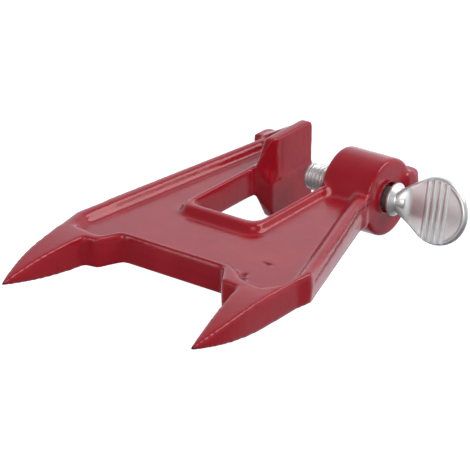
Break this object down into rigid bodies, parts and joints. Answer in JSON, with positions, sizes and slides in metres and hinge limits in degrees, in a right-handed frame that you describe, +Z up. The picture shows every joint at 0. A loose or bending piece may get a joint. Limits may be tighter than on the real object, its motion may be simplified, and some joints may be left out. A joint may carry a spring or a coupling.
{
  "type": "stump vise",
  "caption": "Flat cast frame with two long spikes to drive into a stump, and a thumbscrew that clamps a chainsaw bar against a fixed jaw while its chain is filed.",
  "frame": {"origin": "where the screw's axis meets the fixed jaw's clamping face, halfway through the casting's thickness", "axes": "+X from the fixed jaw along the screw to its thumb head, +Y away from the spikes towards the hammer pads, +Z up, square to the flat frame"},
  "size_m": [0.1023, 0.1482, 0.0296],
  "materials": {
    "red_paint": "glossy enamel over a sand-cast surface",
    "zinc_plate": "bright zinc plating"
  },
  "bodies": {
    "frame": {"frame_casting": "red_paint"},
    "point": {"screw_point": "zinc_plate"},
    "screw": {"thumb_screw": "zinc_plate"}
  },
  "joints": [
    {"name": "screw_travel", "type": "slide", "parent": "frame", "child": "point", "axis": [1, 0, 0], "range_m": [-0.002, 0.012]},
    {"name": "screw_turn", "type": "hinge", "parent": "point", "child": "screw", "pos_m": [0.03, 0, 0], "axis": [1, 0, 0], "range_deg": [-481, 2881]}
  ],
  "couplings": [
    {"joint": "screw_turn", "follows": "screw_travel", "rad_per_m": 4188.8}
  ]
}
